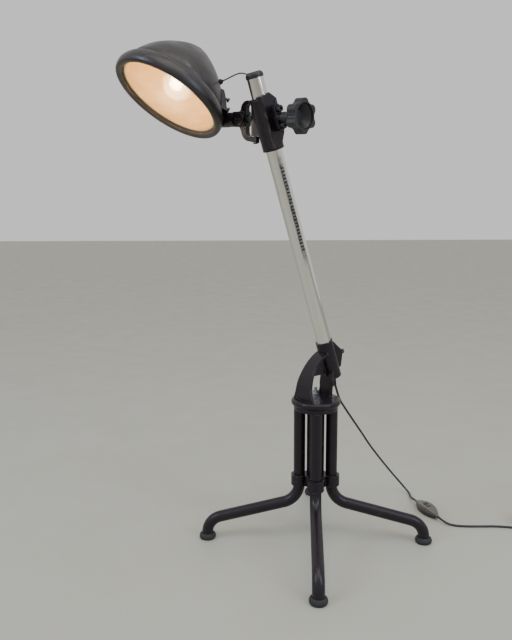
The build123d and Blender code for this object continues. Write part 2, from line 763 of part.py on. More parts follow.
def gland_plane():
    """Plane on the dome where the lead goes in, z outwards and leaning half way to the lead."""
    share = (LEAD_TARGET_IN_HEAD.Z - CREASE) / DOME_DEPTH
    radius, height = dome_point(share)
    turn = radians(GLAND_TURN)
    rise = radians(48)
    origin = HEAD.from_local_coords((radius * cos(turn), radius * sin(turn), height))
    tip = HEAD.from_local_coords(
        (
            (radius + cos(rise)) * cos(turn),
            (radius + cos(rise)) * sin(turn),
            height + sin(rise),
        )
    )
    outwards = (tip - origin).normalized()
    to_lead = (LEAD_SECOND_JOIN - origin).normalized()
    return Plane(origin=origin, z_dir=outwards + to_lead)


GLAND = gland_plane()


def lead_gland():
    """Flange and neck on the dome's surface, with a spigot through the sheet."""
    outside = GLAND * (cylinder(5.2, -4.0, 4.0) + cylinder(3.2, 4.0, 7.0)) - HEAD * head_envelope()
    spigot = GLAND * cylinder(GLAND_RADIUS, -3.0, 0.6)
    return outside + spigot - GLAND * cylinder(LEAD_RADIUS, -4.0, 7.0)


def head_envelope():
    """Solid outer shape of rim and dome."""
    top = CREASE + DOME_DEPTH
    outline = [
        Line((0, RIM_POINTS[0][1]), RIM_POINTS[0]),
        Spline(*RIM_POINTS),
        Line(RIM_POINTS[-1], (OPENING_RADIUS, CREASE)),
        dome_outline(),
        Line((0, top), (0, RIM_POINTS[0][1])),
    ]
    return ring_solid(outline)


def strap_blank():
    """Ring that stands about 8 mm off the dome; the strap is one sector of it."""
    outer = [(119, 31), (112, 40), (105, 51), (98.5, 60), (92.5, 67)]
    inner = [(78, 67), (96, 31)]
    return ring_solid(Polyline(*outer, *inner, close=True))


BRACKET_BOLT_HEIGHTS = (42.0, 60.0)
STRAP_TURN = BRACKET_TURN - 9.0


def bracket_bolt_frames():
    frames = []
    for height in BRACKET_BOLT_HEIGHTS:
        radius = dome_point((height - CREASE) / DOME_DEPTH)[0]
        frames.append(HEAD * Pos(0, 0, 0) * Rot(0, 0, STRAP_TURN) * Pos(radius, 0, height))
    return frames


def bracket_bolt_holes():
    return [frame * bar(2.5, -12, 20) for frame in bracket_bolt_frames()]


def shade_bracket():
    """Saddle on the shade's side that the stub is fixed to."""
    strap = HEAD * (strap_blank() & (Rot(0, 0, STRAP_TURN) * block((60, 140), (-17, 17), (30, 68))))
    boss = BRACKET * bar(BLOCK_HALF, STUB_END - 38, STUB_END)
    boss = boss & (HEAD * (Rot(0, 0, STRAP_TURN) * block((60, 160), (-40, 40), (6, 70))))
    body = strap + boss
    body -= HEAD * head_envelope()
    body -= BRACKET * bar(BLOCK_HALF + 0.3, STUB_END, -70)
    body -= BRACKET * bar(PIVOT_RADIUS, STUB_END - 9, STUB_END)
    for frame in bracket_bolt_frames():
        body -= frame * (bar(2.5, -12, 20) + bar(5.2, 12.5, 30))
    solids = sorted(body.solids(), key=lambda s: s.volume)
    return solids[-1]


def bracket_bolts():
    bolts = []
    for frame in bracket_bolt_frames():
        bolts.append(frame * (bar(2.5, -6, 12.5) + bar(4.6, 12.5, 15.5)))
    return bolts


def stub_shaft():
    body = bar(BLOCK_HALF - 0.5, STUB_END, STUB_START)
    return BRACKET * (body - bar(PIVOT_RADIUS, STUB_END, STUB_START))


def pivot_bolt():
    """Bolt through bail, stub and bracket, with its nut inside the bail's window."""
    shank = bar(PIVOT_RADIUS, STUB_END - 9, -44.5)
    nut = Plane(origin=(-47.1, 0, 0), z_dir=(1, 0, 0)) * (hexagon(13, 0, 5.0) + cylinder(7.6, 0, 1.2))
    return BRACKET * (shank + nut)


# ------------------------------------------------------------------ mains cord


SWITCH = Plane(origin=(276.75, 145.1, 0), x_dir=(0.395, -0.919, 0), z_dir=(0, 0, 1))
SWITCH_HALF, SWITCH_TIP = 40.0, 47.1
SWITCH_TOP, SWITCH_SPLIT, SWITCH_AXIS = 20.0, 10.0, 9.5


def switch_body():
    """Lens-shaped body with a tapered neck at each end."""
    plan = [
        ThreePointArc((-SWITCH_HALF, -4.5), (0, -14.5), (SWITCH_HALF, -4.5)),
        Line((SWITCH_HALF, -4.5), (SWITCH_HALF, 4.5)),
        ThreePointArc((SWITCH_HALF, 4.5), (0, 14.5), (-SWITCH_HALF, 4.5)),
        Line((-SWITCH_HALF, 4.5), (-SWITCH_HALF, -4.5)),
    ]
    side = [
        Line((-SWITCH_HALF, 5), (-SWITCH_HALF, 14)),
        ThreePointArc((-SWITCH_HALF, 14), (0, SWITCH_TOP), (SWITCH_HALF, 14)),
        Line((SWITCH_HALF, 14), (SWITCH_HALF, 5)),
        ThreePointArc((SWITCH_HALF, 5), (0, 0), (-SWITCH_HALF, 5)),
    ]
    body = extrude(make_face(plan), SWITCH_TOP + 2) & extrude(Plane.XZ * make_face(side), 20, both=True)
    for end in (-1, 1):
        taper = Pos(end * (SWITCH_HALF + SWITCH_TIP) / 2, 0, SWITCH_AXIS) * Rot(0, 90 * end, 0) * Cone(
            4.4, 3.2, SWITCH_TIP - SWITCH_HALF
        )
        body += taper
    return body - ROCKER_SLOT


ROCKER_SLOT = Pos(0, 0, SWITCH_TOP - 4) * Box(18.6, 10.6, 14)


def switch_base():
    lower = switch_body() & block((-60, 60), (-30, 30), (-1, SWITCH_SPLIT))
    return SWITCH * (lower - cord_bore())


def switch_cover():
    upper = switch_body() & block((-60, 60), (-30, 30), (SWITCH_SPLIT, SWITCH_TOP + 2))
    return SWITCH * (upper - cord_bore() - Pos(0, 0, 14) * Rot(90, 0, 0) * cylinder(1.0, -7.5, 7.5))


def cord_bore():
    """Clamped ends of the cord inside the switch."""
    return bar(CORD_RADIUS, -SWITCH_TIP, -SWITCH_HALF).moved(Location((0, 0, SWITCH_AXIS))) + bar(
        CORD_RADIUS, SWITCH_HALF, SWITCH_TIP
    ).moved(Location((0, 0, SWITCH_AXIS)))


def switch_rocker():
    top = 21.6
    half, low = 7.6, 13.5
    side = Polyline(
        (-half, low), (-half, top + 0.8), (0, top - 1.6), (half, top - 0.6), (half, low), close=True
    )
    rocker = extrude(Plane.XZ * make_face(side), 5.0, both=True)
    return SWITCH * (rocker - Pos(0, 0, 14) * Rot(90, 0, 0) * cylinder(1.05, -8, 8))


def switch_pin():
    return SWITCH * (Pos(0, 0, 14) * Rot(90, 0, 0) * cylinder(1.0, -7.5, 7.5))


def cord_grommet():
    """Grommet in the sleeve's lower end with a tapered relief on the cord."""
    low = SLEEVE_BOTTOM - 21.5
    body = cylinder(12, SLEEVE_BOTTOM, SLEEVE_BOTTOM + 3.5) + cylinder(13.5, SLEEVE_BOTTOM - 1.5, SLEEVE_BOTTOM)
    taper = Pos(0, 0, (low + SLEEVE_BOTTOM - 1.5) / 2) * Cone(3.2, 5.5, 20.0)
    return POST * (body + taper)


def cord_coil():
    height = COIL_PITCH * COIL_TURNS + 2 * FLOOR_CORD
    ring = cylinder(COIL_RADIUS + 3.2, 0, height) - cylinder(COIL_RADIUS - 3.2, 0, height)
    return Pos(*COIL_CENTRE, 0) * ring


PLUG = Plane(origin=(546.0, 190.0, 13.0), x_dir=(0.22, 0.975, 0), z_dir=(0, 0, 1))


def plug_body():
    """Two-pin plug with a tapered relief."""
    relief = Pos(15, 0, 0) * Rot(0, 90, 0) * Cone(3.2, 6.5, 30)
    body = block((30, 62), (-13, 13), (-9, 9))
    body = fillet(body.edges(), 4)
    body += block((60, 66), (-16, 16), (-11.5, 11.5))
    return PLUG * (relief + body)


def plug_pins():
    pin = bar(2.4, 66, 85)
    return [PLUG * (Pos(0, side * 9.5, 0) * pin) for side in (-1, 1)]


# ------------------------------------------------------------------ lead to the head

LEAD_GAP = 0.3                   # between two pieces of the lead that move apart
LEAD_START = LEAD_EXIT.from_local_coords((0, 0, 1.2))
LEAD_RISE = LEAD_EXIT.from_local_coords((0, 0, 9.0))
LEAD_END = GLAND.from_local_coords((0, 0, 7.0 + LEAD_GAP))
LEAD_ENTRY = GLAND.from_local_coords((0, 0, 17.0))


def step_back(point, towards):
    """Point half a gap short of a join."""
    return point + (towards - point).normalized() * (LEAD_GAP / 2)


def lead_from_cap():
    return cord_tube([LEAD_START, LEAD_RISE, step_back(LEAD_FIRST_JOIN, LEAD_RISE)], LEAD_RADIUS)


def lead_on_carriage():
    start = step_back(LEAD_FIRST_JOIN, LEAD_MIDDLE)
    return cord_tube([start, LEAD_MIDDLE, step_back(LEAD_SECOND_JOIN, LEAD_MIDDLE)], LEAD_RADIUS)


def lead_on_bail():
    return cord_tube([step_back(LEAD_SECOND_JOIN, LEAD_ENTRY), LEAD_ENTRY, LEAD_END], LEAD_RADIUS)


PARTS = {
    "leg_plugs": leg_plugs,
    "leg_collar": leg_collar,
    "centre_column": centre_column,
    "base_plate": base_plate,
    "yoke_casting": yoke_casting,
    "yoke_bolts": yoke_bolts,
    "yoke_screws": yoke_screws,
    "sleeve_set_bolt": sleeve_set_bolt,
    "cord_grommet": cord_grommet,
    "post_tube": post_tube,
    "post_cap": post_cap,
    "cap_grommet": cap_grommet,
    "carriage_casting": carriage_casting,
    "carriage_plate": carriage_plate,
    "plate_screws": plate_screws,
    "knob_bridge": knob_bridge,
    "bridge_screws": bridge_screws,
    "pressure_shoe": pressure_shoe,
    "knob_spindle": knob_spindle,
    "star_knob": star_knob,
    "bail": bail,
    "bail_pins": bail_pins,
    "tilt_pad": tilt_pad,
    "stub_shaft": stub_shaft,
    "pivot_bolt": pivot_bolt,
    "shade_bracket": shade_bracket,
    "bracket_bolts": bracket_bolts,
    "shade_shell": shade_shell,
    "rim_bezel": rim_bezel,
    "glass_gasket": glass_gasket,
    "front_glass": front_glass,
    "reflector": reflector,
    "lamp_holder": lamp_holder,
    "bulb_cap": bulb_cap,
    "bulb_glass": bulb_glass,
    "lead_gland": lead_gland,
    "switch_base": switch_base,
    "switch_cover": switch_cover,
    "switch_rocker": switch_rocker,
    "switch_pin": switch_pin,
    "cord_to_switch": lambda: cord_tube(CORD_TO_SWITCH, CORD_RADIUS),
    "cord_to_coil": lambda: cord_tube(CORD_TO_COIL, CORD_RADIUS),
    "cord_coil": cord_coil,
    "cord_to_plug": lambda: cord_tube(CORD_TO_PLUG, CORD_RADIUS),
    "plug_body": plug_body,
    "plug_pins": plug_pins,
    "lead_from_cap": lead_from_cap,
    "lead_on_carriage": lead_on_carriage,
    "lead_on_bail": lead_on_bail,
}


def write(name, shape):
    if isinstance(shape, list):
        shape = Compound([solid for piece in shape for solid in piece.solids()])
    export_step(shape, os.path.join("parts", name + ".step"))


os.makedirs("parts", exist_ok=True)
leg = leg_tube()
pad = foot_pad()
for side, angle in LEG_ANGLES.items():
    write("leg_" + side, Rot(0, 0, angle) * leg)
    write("foot_pad_" + side, Rot(0, 0, angle) * pad)
for name, make in PARTS.items():
    write(name, make())
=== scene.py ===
import json
from math import cos, pi, radians, sin

import bmesh
import bpy
from mathutils import Matrix, Vector


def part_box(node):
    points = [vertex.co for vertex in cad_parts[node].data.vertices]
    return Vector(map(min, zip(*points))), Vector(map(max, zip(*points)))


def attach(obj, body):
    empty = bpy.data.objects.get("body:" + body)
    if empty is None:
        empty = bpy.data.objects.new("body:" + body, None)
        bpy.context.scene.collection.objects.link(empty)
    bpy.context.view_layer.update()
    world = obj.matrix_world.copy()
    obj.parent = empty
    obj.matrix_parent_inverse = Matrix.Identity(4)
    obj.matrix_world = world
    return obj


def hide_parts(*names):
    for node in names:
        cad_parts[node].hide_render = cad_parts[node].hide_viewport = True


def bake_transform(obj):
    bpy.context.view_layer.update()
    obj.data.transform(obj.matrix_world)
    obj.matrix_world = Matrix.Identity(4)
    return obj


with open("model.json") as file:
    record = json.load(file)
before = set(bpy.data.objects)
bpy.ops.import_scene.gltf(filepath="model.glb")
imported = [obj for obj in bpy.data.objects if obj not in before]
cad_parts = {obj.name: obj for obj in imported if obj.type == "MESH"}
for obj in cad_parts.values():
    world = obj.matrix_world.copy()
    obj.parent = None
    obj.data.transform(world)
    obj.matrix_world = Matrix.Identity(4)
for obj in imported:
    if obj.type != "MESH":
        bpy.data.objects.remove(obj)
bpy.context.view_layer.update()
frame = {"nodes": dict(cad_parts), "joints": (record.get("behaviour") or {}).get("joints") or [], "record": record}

MM = 0.001
NODES = frame["nodes"]


def add_object(name, data):
    """A new object that shows in the scene."""
    thing = bpy.data.objects.new(name, data)
    bpy.context.scene.collection.objects.link(thing)
    return thing


# ------------------------------------------------------------------ camera

CAMERA_AT = Vector((-0.0483, -1.3921, 0.746))
HEADING = Vector((-0.05756, 0.99834, 0.0))
PITCH_DOWN = radians(10.0)
ROLL = radians(0.37)
FOCAL_MM = 37.46


def make_camera():
    data = bpy.data.cameras.new("camera")
    data.lens = FOCAL_MM
    data.sensor_width = 36.0
    data.clip_start = 0.05
    data.clip_end = 60.0
    camera = add_object("camera", data)
    forward = HEADING * cos(PITCH_DOWN) + Vector((0, 0, -sin(PITCH_DOWN)))
    right = forward.cross(Vector((0, 0, 1))).normalized()
    up = right.cross(forward)
    turned_right = right * cos(ROLL) - up * sin(ROLL)
    turned_up = up * cos(ROLL) + right * sin(ROLL)
    rotation = Matrix((turned_right, turned_up, -forward)).transposed()
    camera.matrix_world = Matrix.Translation(CAMERA_AT) @ rotation.to_4x4()
    bpy.context.scene.camera = camera


make_camera()


# ------------------------------------------------------------------ materials


def joint(name):
    """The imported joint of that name."""
    return next(j for j in frame["joints"] if j["name"] == name)


POST_ORIGIN = Vector(joint("post_turn")["pos_m"])
POST_AXIS = Vector(joint("post_turn")["axis"])
KNOB_AXIS = Vector(joint("knob_turn")["axis"])
POST_RADIUS = 16.0 * MM

# The tooth row: its turn from the knob's side, and its two ends and the fade beyond them, along the post.
TOOTH_TURN = radians(-21.0)
TEETH_LOW, TEETH_HIGH, TEETH_FADE = 145 * MM, 320 * MM, 35 * MM
TOOTH_SIDE = (KNOB_AXIS - POST_AXIS * KNOB_AXIS.dot(POST_AXIS)).normalized()
TOOTH_SIDE = Matrix.Rotation(TOOTH_TURN, 3, POST_AXIS) @ TOOTH_SIDE

COAT_ROUGHNESS = 0.1


class Paint:
    """A Principled material with short names for the nodes that vary it."""

    def __init__(self, name, colour, roughness, metallic=0.0, coat=0.0):
        self.material = bpy.data.materials.new(name)
        self.material.use_nodes = True
        self.nodes = self.material.node_tree.nodes
        self.links = self.material.node_tree.links
        self.shader = self.nodes["Principled BSDF"]
        self.shader.inputs["Base Color"].default_value = (*colour, 1)
        self.shader.inputs["Roughness"].default_value = roughness
        self.shader.inputs["Metallic"].default_value = metallic
        self.shader.inputs["Coat Weight"].default_value = coat
        self.shader.inputs["Coat Roughness"].default_value = COAT_ROUGHNESS
        self.place = self.nodes.new("ShaderNodeTexCoord").outputs["Object"]

    def stretched(self, scale):
        """Object coordinates, scaled by a different amount along each axis."""
        mapping = self.nodes.new("ShaderNodeMapping")
        mapping.inputs["Scale"].default_value = scale
        self.links.new(self.place, mapping.inputs["Vector"])
        return mapping.outputs["Vector"]

    def noise(self, scale, detail=4.0, roughness=0.55, place=None):
        node = self.nodes.new("ShaderNodeTexNoise")
        node.inputs["Scale"].default_value = scale
        node.inputs["Detail"].default_value = detail
        node.inputs["Roughness"].default_value = roughness
        self.links.new(place or self.place, node.inputs["Vector"])
        return node.outputs["Fac"]

    def span(self, value, low, high, to_low=0.0, to_high=1.0):
        """low to high, mapped to to_low to to_high, and clamped."""
        node = self.nodes.new("ShaderNodeMapRange")
        node.inputs["From Min"].default_value = low
        node.inputs["From Max"].default_value = high
        node.inputs["To Min"].default_value = to_low
        node.inputs["To Max"].default_value = to_high
        self.links.new(value, node.inputs["Value"])
        return node.outputs["Result"]

    def math(self, operation, first, second):
        node = self.nodes.new("ShaderNodeMath")
        node.operation = operation
        node.use_clamp = True
        for socket, value in zip(node.inputs, (first, second)):
            if isinstance(value, (int, float)):
                socket.default_value = value
            else:
                self.links.new(value, socket)
        return node.outputs["Value"]

    def vector(self, operation, first, second=None):
        """A vector node; the caller takes the output that it needs."""
        node = self.nodes.new("ShaderNodeVectorMath")
        node.operation = operation
        self.links.new(first, node.inputs[0])
        if second is not None:
            node.inputs[1].default_value = second
        return node

    def mix(self, share, first, second):
        """first where share is 0, second where it is 1."""
        node = self.nodes.new("ShaderNodeMix")
        node.data_type = "RGBA"
        self.links.new(share, node.inputs["Factor"])
        sockets = [socket for socket in node.inputs if socket.type == "RGBA"]
        for socket, value in zip(sockets, (first, second)):
            if isinstance(value, tuple):
                socket.default_value = (*value, 1)
            else:
                self.links.new(value, socket)
        return [socket for socket in node.outputs if socket.type == "RGBA"][0]

    def edges(self, radius):
        """1 on a convex edge or corner, 0 on a flat face."""
        bevel = self.nodes.new("ShaderNodeBevel")
        bevel.samples = 4
        bevel.inputs["Radius"].default_value = radius
        geometry = self.nodes.new("ShaderNodeNewGeometry")
        dot = self.nodes.new("ShaderNodeVectorMath")
        dot.operation = "DOT_PRODUCT"
        self.links.new(bevel.outputs["Normal"], dot.inputs[0])
        self.links.new(geometry.outputs["Normal"], dot.inputs[1])
        return self.span(dot.outputs["Value"], 0.995, 0.86)

    def colour(self, output):
        self.links.new(output, self.shader.inputs["Base Color"])

    def rough(self, output):
        self.links.new(output, self.shader.inputs["Roughness"])

    def bump(self, height, strength, distance):
        node = self.nodes.new("ShaderNodeBump")
        node.inputs["Strength"].default_value = strength
        node.inputs["Distance"].default_value = distance
        self.links.new(height, node.inputs["Height"])
        self.links.new(node.outputs["Normal"], self.shader.inputs["Normal"])


def black_enamel():
    """Brushed-on black enamel: orange peel, small light chips and rubbed edges."""
    paint = Paint("black_enamel", (0.012, 0.010, 0.012), 0.3)
    paint.shader.inputs["Specular IOR Level"].default_value = 0.34
    patches = paint.noise(14, 3)
    body = paint.mix(patches, (0.0058, 0.0032, 0.0062), (0.0150, 0.0092, 0.0138))
    chip_field = paint.noise(260, 3, 0.6)
    chip_region = paint.span(paint.noise(22, 2), 0.5, 0.66)
    chips = paint.math("MULTIPLY", paint.span(chip_field, 0.69, 0.72), chip_region)
    rubbed = paint.math("MULTIPLY", paint.edges(0.0016), paint.span(paint.noise(70, 4), 0.42, 0.6))
    worn = paint.math("MAXIMUM", chips, paint.math("MULTIPLY", rubbed, 0.55))
    paint.colour(paint.mix(worn, body, (0.30, 0.28, 0.27)))
    gloss = paint.span(paint.noise(45, 5), 0.3, 0.7, 0.24, 0.40)
    paint.rough(paint.math("ADD", gloss, paint.math("MULTIPLY", worn, 0.3)))
    paint.bump(paint.noise(420, 2), 0.10, 0.0006)
    return paint.material


def shade_paint():
    """Dark lacquer, rubbed dull with fine scratches."""
    paint = Paint("shade_paint", (0.03, 0.028, 0.03), 0.35)
    paint.shader.inputs["Specular IOR Level"].default_value = 0.42
    body = paint.mix(paint.noise(16, 5, 0.65), (0.010, 0.0088, 0.0095), (0.046, 0.036, 0.034))
    scratches = paint.span(paint.noise(30, 6, 0.7, paint.stretched((1, 7, 1))), 0.60, 0.68)
    rubbed = paint.math("MULTIPLY", paint.edges(0.002), paint.span(paint.noise(60, 4), 0.4, 0.6))
    scuffs = paint.math("MULTIPLY", scratches, 0.35)
    worn = paint.math("MAXIMUM", scuffs, paint.math("MULTIPLY", rubbed, 0.45))
    paint.colour(paint.mix(worn, body, (0.20, 0.19, 0.18)))
    paint.rough(paint.span(paint.noise(34, 5), 0.3, 0.7, 0.26, 0.46))
    paint.bump(paint.noise(380, 2), 0.12, 0.0006)
    return paint.material


def chrome():
    """Plated tube with patchy wear and dull specks, and painted shade: a dark stripe along its tooth row and
    darkening inside its cuts.
    """
    paint = Paint("chrome", (0.80, 0.80, 0.78), 0.1, metallic=1.0)
    away = paint.vector("SUBTRACT", paint.place, POST_ORIGIN).outputs["Vector"]
    height = paint.vector("DOT_PRODUCT", away, POST_AXIS).outputs["Value"]
    reach = paint.vector("DOT_PRODUCT", away, TOOTH_SIDE).outputs["Value"]
    across = paint.vector("CROSS_PRODUCT", away, POST_AXIS).outputs["Vector"]
    radius = paint.vector("LENGTH", across).outputs["Value"]
    specks = paint.span(paint.noise(340, 3, 0.6), 0.68, 0.73)
    plate = paint.mix(specks, (0.74, 0.72, 0.66), (0.30, 0.28, 0.25))
    # Painted shade: a dark stripe along the tooth row, where the notches lie in shade, its strength varied by
    # noise.
    along_teeth = paint.math(
        "MULTIPLY",
        paint.span(height, TEETH_LOW - TEETH_FADE, TEETH_LOW),
        paint.span(height, TEETH_HIGH + TEETH_FADE, TEETH_HIGH),
    )
    on_tooth_side = paint.span(reach, POST_RADIUS - 1.0 * MM, POST_RADIUS - 0.5 * MM)
    tooth_row_shade = paint.math("MULTIPLY", on_tooth_side, along_teeth)
    tooth_row_shade = paint.math("MULTIPLY", tooth_row_shade, paint.span(paint.noise(120, 3), 0.3, 0.6, 0.45, 0.9))
    # Painted shade inside the cuts: darker where the surface dips below the tube's radius.
    shade_inside_cut = paint.span(radius, POST_RADIUS - 0.08 * MM, POST_RADIUS - 0.16 * MM)
    painted_shade_mask = paint.math("MAXIMUM", tooth_row_shade, shade_inside_cut)
    # The painted shade turns the plate near black here.
    paint.colour(paint.mix(painted_shade_mask, plate, (0.045, 0.042, 0.046)))
    wear = paint.span(paint.noise(55, 5), 0.35, 0.7, 0.05, 0.17)
    paint.rough(paint.math("ADD", wear, paint.math("MULTIPLY", painted_shade_mask, 0.3)))
    return paint.material


def metal(name, low, high, roughness, scale=90):
    """Bare metal, mottled between two tones."""
    paint = Paint(name, low, roughness, metallic=1.0)
    paint.colour(paint.mix(paint.noise(scale, 4), low, high))
    paint.rough(paint.span(paint.noise(scale * 1.7, 4), 0.3, 0.7, roughness - 0.08, roughness + 0.1))
    paint.bump(paint.noise(scale * 8, 2), 0.15, 0.0003)
    return paint.material


def moulded(name, low, high, roughness, coat=0.0, grain=600, depth=0.15):
    """Moulded plastic or rubber with a fine grain, mottled between two tones."""
    paint = Paint(name, low, roughness, coat=coat)
    paint.colour(paint.mix(paint.noise(30, 4), low, high))
    paint.rough(paint.span(paint.noise(80, 4), 0.3, 0.7, roughness - 0.07, roughness + 0.09))
    paint.bump(paint.noise(grain, 2), depth, 0.0004)
    return paint.material


def middle(node):
    """The middle of a CAD node's box at rest."""
    low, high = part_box(node)
    return (Vector(low) + Vector(high)) / 2


BULB_MIDDLE = middle("bulb_glass")
GLASS_MIDDLE = middle("front_glass")
BEAM = (GLASS_MIDDLE - BULB_MIDDLE).normalized()
BULB_LIGHT_AHEAD = 30 * MM


def patterned_glass():
    """Clear pane with a fine cast pattern, that the lit bulb and bowl show through."""
    paint = Paint("clear_glass", (1.0, 0.95, 0.86), 0.13)
    paint.shader.inputs["Transmission Weight"].default_value = 0.95
    paint.shader.inputs["IOR"].default_value = 1.18
    pattern = paint.noise(70, 3, 0.6, paint.stretched((1.0, 1.0, 3.5)))
    paint.bump(pattern, 0.5, 0.0016)
    paint.rough(paint.span(paint.noise(120, 3), 0.3, 0.7, 0.08, 0.20))
    return paint.material


def glowing(name, colour, second_colour, strength, roughness=0.35, streaks=(1.0, 1.0, 1.0)):
    """Surface that glows in its own colour, mottled between two warm tones; on the bulb's core it is the lamp's
    light, on the reflector it is painted light.
    """
    paint = Paint(name, colour, roughness)
    mottle = paint.span(paint.noise(24, 5, 0.6, paint.stretched(streaks)), 0.36, 0.64)
    tone = paint.mix(mottle, second_colour, colour)
    paint.colour(tone)
    paint.links.new(tone, paint.shader.inputs["Emission Color"])
    paint.shader.inputs["Emission Strength"].default_value = strength
    return paint.material


def bulb_envelope():
    """Thin clear glass, very slightly hazy in patches."""
    paint = Paint("bulb", (1.0, 0.95, 0.85), 0.06)
    paint.shader.inputs["Transmission Weight"].default_value = 1.0
    paint.shader.inputs["IOR"].default_value = 1.04
    paint.rough(paint.span(paint.noise(50, 3), 0.3, 0.7, 0.0, 0.02))
    return paint.material


MATERIALS = {
    "black_enamel": black_enamel(),
    "shade_paint": shade_paint(),
    "chrome": chrome(),
    "zinc_steel": metal("zinc_steel", (0.50, 0.50, 0.48), (0.68, 0.67, 0.64), 0.36),
    "black_steel": metal("black_steel", (0.035, 0.035, 0.038), (0.10, 0.10, 0.10), 0.40),
    "brass": metal("brass", (0.52, 0.40, 0.20), (0.70, 0.56, 0.32), 0.33),
    "black_bakelite": moulded("black_bakelite", (0.006, 0.0055, 0.007), (0.015, 0.013, 0.014), 0.44),
    "rubber": moulded("rubber", (0.012, 0.012, 0.012), (0.028, 0.027, 0.026), 0.72, grain=900, depth=0.3),
    "cord_pvc": moulded("cord_pvc", (0.014, 0.014, 0.015), (0.030, 0.030, 0.031), 0.48),
    "lead_pvc": moulded("lead_pvc", (0.055, 0.055, 0.06), (0.10, 0.10, 0.105), 0.5),
    "switch_grey": moulded("switch_grey", (0.075, 0.068, 0.060), (0.12, 0.11, 0.10), 0.42),
    "switch_black": moulded("switch_black", (0.012, 0.012, 0.012), (0.024, 0.023, 0.023), 0.32, coat=0.2),
    # Painted light: the reflector bowl is no lamp, yet it glows in the bulb light's warm orange, standing in for
    # the light that the bulb casts on it.
    "white_reflector": glowing(
        "white_reflector", (0.88, 0.61, 0.27), (0.80, 0.46, 0.13), 0.47, 0.42, (1.0, 1.0, 4.0)
    ),
    "clear_glass": patterned_glass(),
    "bulb": bulb_envelope(),
}


def paint_nodes():
    """Each CAD node takes the material of its slot in the record."""
    for row in frame["record"]["subparts"]:
        piece = NODES[row["node"]]
        surface = MATERIALS[row["material_slot"]]
        if not piece.material_slots:
            piece.data.materials.append(surface)
        for slot in piece.material_slots:
            slot.material = surface


paint_nodes()


# ------------------------------------------------------------------ mains cord

# Routes are in millimetres, and repeat the ones in part.py.
CORD_RADIUS = 2.5 * MM
CORD_TO_SWITCH = [
    (43.0, 36.1, 350.9),
    (46.8, 39.2, 336.7),
    (54.6, 56.0, 309.9),
    (68.8, 76.0, 283.9),
    (90.0, 104.0, 246.3),
    (112.2, 134.0, 207.9),
    (135.1, 162.0, 166.6),
    (158.7, 190.0, 129.1),
    (182.8, 216.0, 92.7),
    (204.3, 238.0, 61.1),
    (224.0, 256.0, 34.0),
    (241.0, 264.0, 12.0),
    (252.0, 247.0, 3.0),
    (251.0, 222.0, 4.0),
    (252.2, 202.1, 9.2),
    (258.1, 188.4, 9.5),
]
CORD_TO_COIL = [
    (295.4, 101.8, 9.5),
    (302.0, 88.0, 7.5),
    (318.0, 78.0, 2.7),
    (345.0, 72.5, 2.6),
    (385.0, 73.8, 2.6),
    (428.0, 76.5, 2.6),
    (468.0, 70.0, 2.6),
]
CORD_TO_PLUG = [
    (532.5, 116.0, 28.5),
    (535.0, 142.0, 20.0),
    (541.0, 168.0, 13.5),
    (546.0, 190.0, 13.0),
]
COIL_CENTRE = (505.0, 95.5)
COIL_RADIUS, COIL_TURNS, COIL_PITCH, COIL_LOW = 27.5, 5.25, 5.3, 2.6
POINTS_A_TURN = 16
TIE_ANGLE = radians(115)
TIE_REACH, TIE_HALF_WIDTH, TIE_THICKNESS, TIE_CORNER = 3.4, 2.5, 0.5, 1.4


def coil_points():
    """A rising helix, as more points of the cord's own line."""
    points = []
    for index in range(int(COIL_TURNS * POINTS_A_TURN) + 1):
        turn = index / POINTS_A_TURN
        angle = 2 * pi * turn - pi / 2
        x = COIL_CENTRE[0] + COIL_RADIUS * cos(angle)
        y = COIL_CENTRE[1] + COIL_RADIUS * sin(angle)
        points.append((x, y, COIL_LOW + COIL_PITCH * turn))
    return points


def smooth_curve(name, points, radius, resolution=8):
    """A round NURBS tube with the points, in millimetres, as its control points."""
    data = bpy.data.curves.new(name, "CURVE")
    data.dimensions = "3D"
    data.resolution_u = resolution
    data.bevel_depth = radius
    data.bevel_resolution = 5
    data.use_fill_caps = True
    spline = data.splines.new("NURBS")
    spline.points.add(len(points) - 1)
    for place, point in zip(spline.points, points):
        place.co = (*(Vector(point) * MM), 1)
    spline.order_u = 3
    spline.use_endpoint_u = True
    return add_object(name, data)


def make_coil_tie():
    """Strap round the coil's turns, with cut corners."""
    inner, outer = COIL_RADIUS - TIE_REACH, COIL_RADIUS + TIE_REACH
    low, high = 0.5, COIL_LOW + COIL_PITCH * (COIL_TURNS - 1) + 3.6
    side = Vector((cos(TIE_ANGLE), sin(TIE_ANGLE), 0))
    across = Vector((-side.y, side.x, 0))
    centre = Vector((*COIL_CENTRE, 0))
    cut = TIE_CORNER
    loop = [
        (inner, low + cut), (inner + cut, low), (outer - cut, low), (outer, low + cut),
        (outer, high - cut), (outer - cut, high), (inner + cut, high), (inner, high - cut),
    ]
    middle_radius, middle_height = (inner + outer) / 2, (low + high) / 2
    verts, faces = [], []
    for radius, height in loop:
        for grow in (0.0, TIE_THICKNESS):
            out = 1 if radius > middle_radius else -1
            rise = 1 if height > middle_height else -1
            lift = rise * grow if height > low + 0.01 else 0.0
            for step in (-TIE_HALF_WIDTH, TIE_HALF_WIDTH):
                point = centre + side * (radius + out * grow) + across * step
                verts.append((point + Vector((0, 0, height + lift))) * MM)
    count = len(loop)
    for index in range(count):
        a, b = index * 4, ((index + 1) % count) * 4
        faces.append((a, a + 1, b + 1, b))
        faces.append((a + 2, b + 2, b + 3, a + 3))
        faces.append((a, b, b + 2, a + 2))
        faces.append((a + 1, a + 3, b + 3, b + 1))
    mesh = bpy.data.meshes.new("coil_tie")
    mesh.from_pydata(verts, [], faces)
    mesh.materials.append(MATERIALS["cord_pvc"])
    tie = add_object("coil_tie", mesh)
    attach(tie, "root")
    return tie


